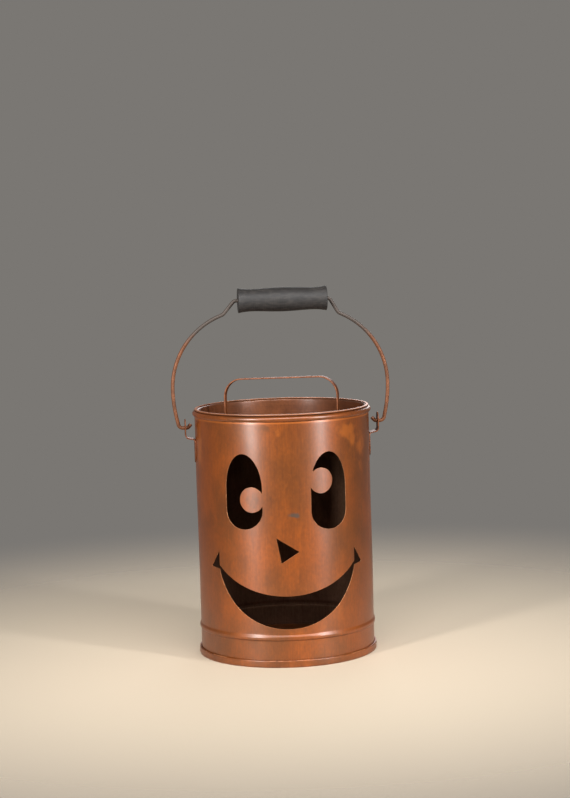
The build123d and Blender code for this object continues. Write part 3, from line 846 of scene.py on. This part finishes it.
sin, cos = np.sin(STRAP_TURN), np.cos(STRAP_TURN)
slew = np.array([[cos, sin, 0], [-sin, cos, 0], [0, 0, 1]])
new_piece("tray_strap_fine", "tray", points @ slew, faces, finishes, spots, normals @ slew)

# %% Rivets
RIVET_RADIUS, RIVET_HEAD, RIVET_RISE, RIVET_ROUND = 1.6, 3.2, 1.3, 1.17
over, under = strap_foot + STRAP_SHEET / 2, tray_floor - SHEET / 2
head = bent_path([(0, RIVET_RISE), (RIVET_HEAD, RIVET_RISE), (RIVET_HEAD, 0)], [RIVET_ROUND], turn_step=10)
shank = [(RIVET_RADIUS, over), (RIVET_RADIUS, under)]
rivet = np.vstack([head + (0, over), shank, head[::-1] * (1, -1) + (0, under)])
points, faces = lathe(rivet, steps=40)
place = np.array([PAD_PLACE, 0, 0]) @ slew
pair, faces = np.vstack([points + place, points - place]), np.vstack([faces, faces + len(points)])
new_piece("tray_rivets_fine", "tray", pair, faces, [rivet_copper])

# %% [markdown]
# ## Bail and grip
#
# The bail is one length of wire: a hook through each ear, a bowed side, a shoulder and the straight handle.
# A curve object with a round bevel would look the same, but here a mark along the wire is wanted as well:
# its wash is worn to bare dark steel where the hand and the grip have worked on it.
# The grip is turned wood, full at the ends, drawn in near them and swelled a little between, with tool rings.

# %% Bail sizes
WIRE_RADIUS, WIRE_CHAMFER, WIRE_SIDES = 2.0, 0.4, 24
HOOK_REACH, TAIL_REACH, TAIL_RISE = 2.8, 3.6, 4.0
BAIL_BOW, BAIL_RISE, BAIL_STRAIGHT = 12.2, 41.6, 1.0
BAIL_LEAN, BAIL_BEND_SHARE = np.radians(12.7), 0.3745
BOW_RADIUS, SHOULDER_HALF_SPAN, SHOULDER_SHIFT, SHOULDER_LEAD = 84.0, 62.8, 2.5, 3.5
HANDLE_HALF_SPAN, HANDLE_SHIFT = 51.9, 3.9
HOOK_BEND, EAR_BEND, SHOULDER_BEND, HANDLE_BEND = 3.0, 5.0, 8.0, 6.0
WASH_TOP, STEEL_FROM = 318.0, 372.0
grip_low, grip_high = node_box("bail_grip")
grip_middle = (grip_low + grip_high) / 2
hinge_height = ear_high[2] - EAR_HOLE_COVER
hook_line, bow_line = tab_line - HOOK_REACH, tab_line + BAIL_BOW
side_run = BAIL_RISE * BAIL_BEND_SHARE
print("hinge", round(hinge_height, 1), "mm, handle", round(grip_middle[2], 1), "mm above the ground")


# %% Bail line
def bail_side(side):
    """Corners of the bail on one side, from the tip of its hook to the end of the handle."""
    shoulder = SHOULDER_HALF_SPAN + side * SHOULDER_SHIFT
    kept = BOW_RADIUS - (bow_line - shoulder)
    turn = np.arccos(kept / np.hypot(BOW_RADIUS, SHOULDER_LEAD)) - np.arctan2(SHOULDER_LEAD, BOW_RADIUS)
    run = BOW_RADIUS * np.tan(turn / 2)
    low = hinge_height + BAIL_RISE - BAIL_STRAIGHT / 2 - side_run
    high = hinge_height + BAIL_RISE + BAIL_STRAIGHT / 2 + run
    return [
        (side * (hook_line - TAIL_REACH), hinge_height + TAIL_RISE),
        (side * hook_line, hinge_height),
        (side * (bow_line - (low - hinge_height) * np.tan(BAIL_LEAN)), hinge_height),
        (side * bow_line, low),
        (side * bow_line, high),
        (side * shoulder, high + (run + SHOULDER_LEAD) * np.cos(turn)),
        (HANDLE_SHIFT + side * HANDLE_HALF_SPAN, grip_middle[2]),
    ]


side_bend = side_run / np.tan(BAIL_LEAN / 2)
bends = [HOOK_BEND, EAR_BEND, side_bend, BOW_RADIUS, SHOULDER_BEND, HANDLE_BEND]
wire_corners = bail_side(-1) + bail_side(1)[::-1]
wire_path = bent_path(wire_corners, bends + bends[::-1], turn_step=4, run_step=2.0)
along, side = path_frame(wire_path)
print("wire length:", round(along[-1]), "mm")

# %% Bail
ends = np.array([(0, 0), (0, WIRE_RADIUS - WIRE_CHAMFER), (WIRE_CHAMFER, WIRE_RADIUS)])
middle = along[(along > 1) & (along < along[-1] - 1)]
stations = np.r_[ends[:, 0], middle, along[-1] - ends[::-1, 0]]
radii = np.r_[ends[:, 1], np.full(len(middle), WIRE_RADIUS), ends[::-1, 1]]
flats = [[np.interp(stations, along, line[:, k]) for k in (0, 1)] for line in (wire_path, side)]
centre, across = (np.stack([x, 0 * x, z], -1) for x, z in flats)
angle = np.linspace(0, 2 * np.pi, WIRE_SIDES, endpoint=False)[:, None]
ring = unit(across)[:, None, :] * np.cos(angle) + np.array([0, 1, 0]) * np.sin(angle)
points = (centre[:, None, :] + radii[:, None, None] * ring).reshape(-1, 3)
points, faces, _, _ = weld(points, grid_faces(len(stations), WIRE_SIDES, False, True))
faces = outward(points, faces)
marks = {"bare": smooth(points[:, 2], WASH_TOP, STEEL_FROM)}
new_piece("bail_wire_fine", "bail", points, faces, [wire_wash], marks=marks)

# %% Grip
GRIP_BORE, GRIP_EDGE, RING_DEPTH, RING_COUNT, RING_SEED = 2.3, 1.0, 0.05, 260, 11
GRIP_END, GRIP_MIDDLE, GRIP_WAIST, GRIP_WAIST_PLACE = 13.8, 13.2, 12.2, 26.9
half = (grip_high - grip_low)[0] / 2
# r = middle + b x^2 + c x^4 goes through the waist and the end, which gives b and c
powers = np.array([[GRIP_WAIST_PLACE**2, GRIP_WAIST_PLACE**4], [half**2, half**4]])
b, c = np.linalg.solve(powers, [GRIP_WAIST - GRIP_MIDDLE, GRIP_END - GRIP_MIDDLE])
along = np.linspace(GRIP_EDGE - half, half - GRIP_EDGE, RING_COUNT)
swell = GRIP_MIDDLE + b * along**2 + c * along**4
tool = np.random.default_rng(RING_SEED).uniform(-1, 1, RING_COUNT)
crest = np.c_[swell + RING_DEPTH * np.convolve(tool, [0.2, 0.6, 0.2], "same"), along][1:-1]
corner = arc_points((swell[-1] - GRIP_EDGE, half - GRIP_EDGE), GRIP_EDGE, GRIP_EDGE, 0, 90, step=0.25)
end_face = np.linspace((swell[-1] - GRIP_EDGE, half), (GRIP_BORE, half), 4)[1:]
far_end = np.vstack([corner, end_face])
near_end = far_end[::-1] * (1, -1)
points, faces = lathe(np.vstack([near_end, crest, far_end]), steps=96)
points = points[:, [2, 0, 1]] + grip_middle
new_piece("bail_grip_fine", "grip", points, outward(points, faces), [black_wood])

# %% [markdown]
# ## Floor, light and camera
#
# The light comes from the front left and the right, which draws two soft upright highlights on the wall.
# Two tall soft boxes stand there, down to the floor so that the slightly downward view mirrors them near the
# rim, and a wide one above the camera lights the bead, the roll and the grip from above.
# A weak one behind the pail is there for views of its back, and adds next to nothing in front.
# The floor is a disc of pale paper that fades into a plain grey backdrop, so that no horizon shows.
# The backdrop is one grey for every ray, so the lacquer mirrors what the camera sees behind the pail.

# %% Studio floor
FLOOR_RADIUS, FADE_FROM, FADE_TO, FLOOR_SHARE = 3.0, 0.12, 0.9, 0.8
bpy.ops.mesh.primitive_circle_add(vertices=96, radius=FLOOR_RADIUS, fill_type="NGON")
ground = bpy.context.object
ground.name = "studio_floor"
paper, tree, shader = new_finish("pale_paper")
spot = add(tree, "ShaderNodeTexCoord", give="Object")
away = add(tree, "ShaderNodeVectorMath", {0: spot}, "Value", operation="LENGTH")
fade = add(tree, "ShaderNodeMapRange", {0: away, 1: FADE_FROM, 2: FADE_TO, 3: FLOOR_SHARE, 4: 0.0}, **SOFT)
join(tree, shader, {"Base Color": linear("#DCCBB2"), "Roughness": 0.9, "Alpha": fade})
ground.data.materials.append(paper)
print("floor:", round(ground.dimensions.x, 1), "m across")

# %% Backdrop
world = bpy.data.worlds.new("studio")
bpy.context.scene.world = world
world.use_nodes = True
tree = world.node_tree
join(tree, tree.nodes["Background"], {"Color": linear("#7A7773"), "Strength": 1.0})

# %% Soft boxes
VIEW_TURN = -5.0
AIM = Vector((0, 0, 0.2))
# Azimuth in degrees, then height, distance, width and tallness in metres, watts and colour
LAMPS = {
    "left_box": (-40, 0.62, 1.7, 0.2, 1.1, 31, "#FFFCFA"),
    "right_box": (50, 0.62, 1.7, 0.16, 1.1, 26, "#FDFDFF"),
    "top_box": (10, 1.6, 1.5, 2.2, 0.4, 43, "#FFFFFF"),
    "back_box": (170, 0.9, 1.9, 0.9, 0.9, 10, "#FFFFFF"),
}


def soft_box(name, azimuth, height, distance, wide, tall, watts, code):
    """A rectangular lamp, in metres, at an azimuth from the camera's side, turned to the pail's middle."""
    lamp = bpy.data.lights.new(name, "AREA")
    lamp.shape, lamp.size, lamp.size_y = "RECTANGLE", wide, tall
    lamp.energy, lamp.color = watts, linear(code)[:3]
    box = bpy.data.objects.new(name, lamp)
    bpy.context.scene.collection.objects.link(box)
    a = np.radians(azimuth + VIEW_TURN)
    box.location = (distance * np.sin(a), -distance * np.cos(a), height)
    box.rotation_euler = (AIM - box.location).to_track_quat("-Z", "Y").to_euler()
    print(name, watts, "W")


for lamp_name, lamp_sizes in LAMPS.items():
    soft_box(lamp_name, *lamp_sizes)

# %% [markdown]
# The camera stands where the photo was taken from, found from the ovals of the rim, bead and base: a little
# above the grip, tilted down by five degrees and rolled by under two. Its lens is the photo's own in pixels.

# %% Camera
PHOTO_HEIGHT, PHOTO_FOCUS, SENSOR = 798.0, 1980.07, 36.0
VIEW_PLACE = Vector((4.31, -2149.71, 481.13)) * MM
VIEW_TILT, VIEW_ROLL = 5.4548, -1.7017
lens = bpy.data.cameras.new("photo_camera")
lens.sensor_width = SENSOR
lens.lens = PHOTO_FOCUS * SENSOR / PHOTO_HEIGHT
camera = bpy.data.objects.new("photo_camera", lens)
bpy.context.scene.collection.objects.link(camera)
round_pail = Matrix.Rotation(np.radians(VIEW_TURN), 4, "Z") @ Matrix.Translation(VIEW_PLACE)
tilted = Matrix.Rotation(np.radians(90 - VIEW_TILT), 4, "X") @ Matrix.Rotation(np.radians(VIEW_ROLL), 4, "Z")
camera.matrix_world = round_pail @ tilted
bpy.context.scene.camera = camera
bpy.context.scene.view_settings.view_transform = "Standard"
print("camera at", [round(v, 3) for v in camera.matrix_world.translation])
